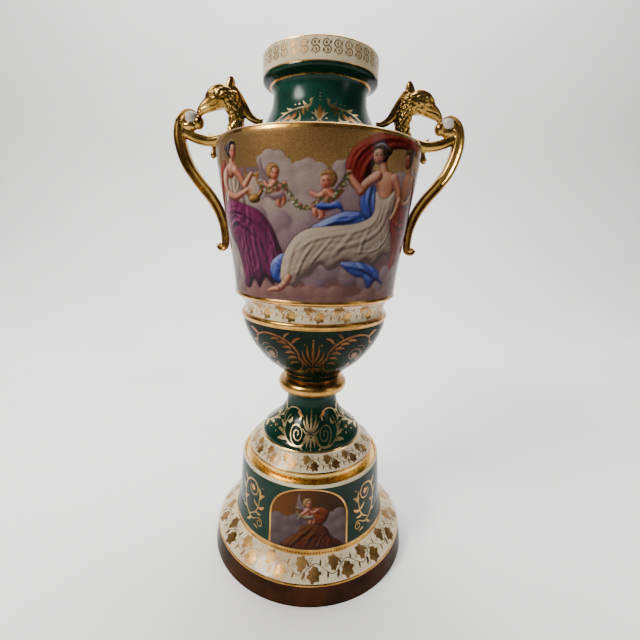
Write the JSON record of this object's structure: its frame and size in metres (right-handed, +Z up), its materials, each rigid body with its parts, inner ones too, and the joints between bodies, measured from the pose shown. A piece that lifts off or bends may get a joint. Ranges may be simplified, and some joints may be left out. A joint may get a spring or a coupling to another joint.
{
  "type": "mantel urn",
  "caption": "Tall hollow porcelain urn with a painted scene band, eagle-headed gilt scroll handles, a turned foot and a round drum pedestal.",
  "frame": {"origin": "centre of the pedestal's underside, on the surface that the urn stands on", "axes": "+Z up the turning axis, +X towards the right handle as the painted front is faced, -Y towards the viewer of the front"},
  "size_m": [0.3208, 0.235, 0.56],
  "materials": {
    "painted_porcelain": "painted and gilded glaze",
    "green_porcelain": "deep green gloss glaze with gilt ornament",
    "ivory_porcelain": "ivory gloss glaze with gilt ornament",
    "gilding": "burnished gold over porcelain"
  },
  "bodies": {
    "root": {"vase": "painted_porcelain", "foot": "green_porcelain", "pedestal": "ivory_porcelain", "handle_left": "gilding", "handle_right": "gilding"}
  },
  "joints": []
}
